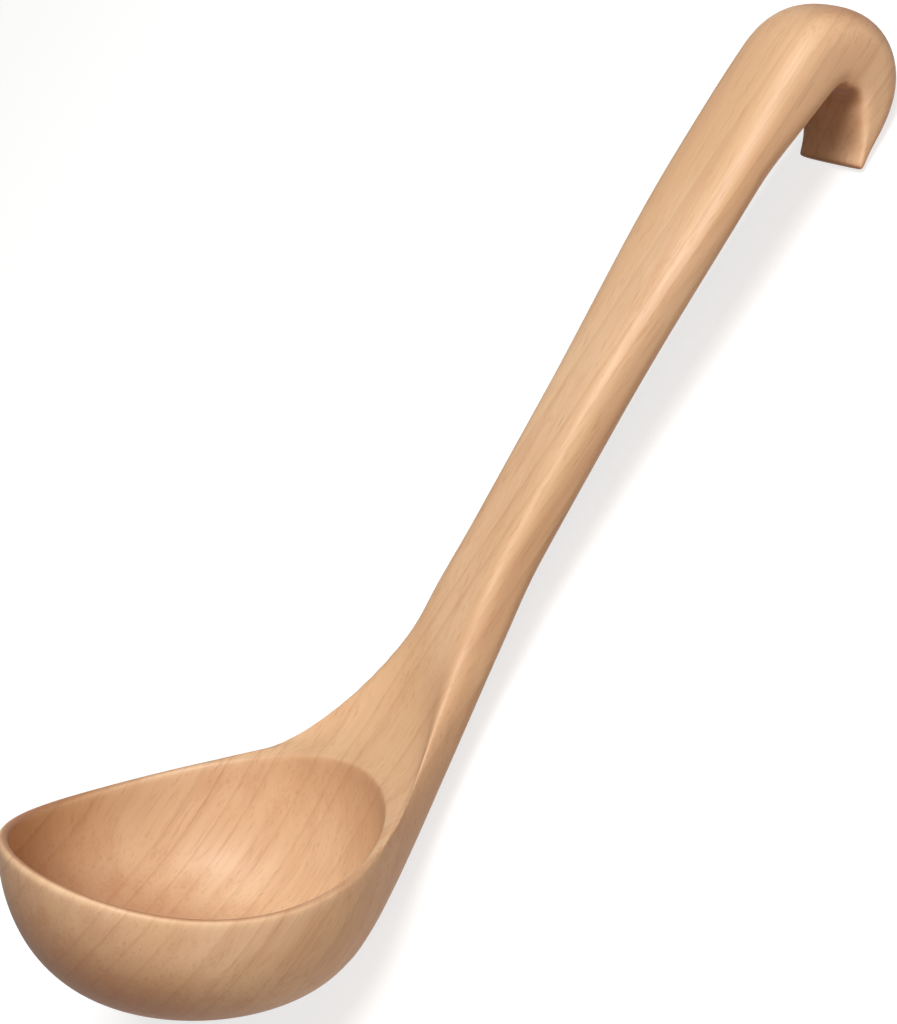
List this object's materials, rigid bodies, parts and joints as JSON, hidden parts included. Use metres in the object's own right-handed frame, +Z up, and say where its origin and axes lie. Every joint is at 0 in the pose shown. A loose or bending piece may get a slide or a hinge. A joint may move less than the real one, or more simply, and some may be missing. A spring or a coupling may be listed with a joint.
{
  "type": "soup ladle",
  "caption": "One-piece carved wooden soup ladle: deep round bowl, flat-faced handle flaring out of the rim, and a hook curled back at the end for hanging on a pot or rail.",
  "frame": {"origin": "on the table under the middle of the ladle as it lies on its bowl and the tip of its hook: the bottom centre of its box", "axes": "+X along the ladle from the bowl to the hook, +Y across it, +Z up from the table; it is symmetric about the XZ plane"},
  "size_m": [0.2764, 0.0856, 0.076],
  "materials": {
    "pale_hardwood": "smooth sanded pale hardwood, satin, with fine straight grain"
  },
  "bodies": {
    "root": {"ladle": "pale_hardwood"}
  },
  "joints": []
}
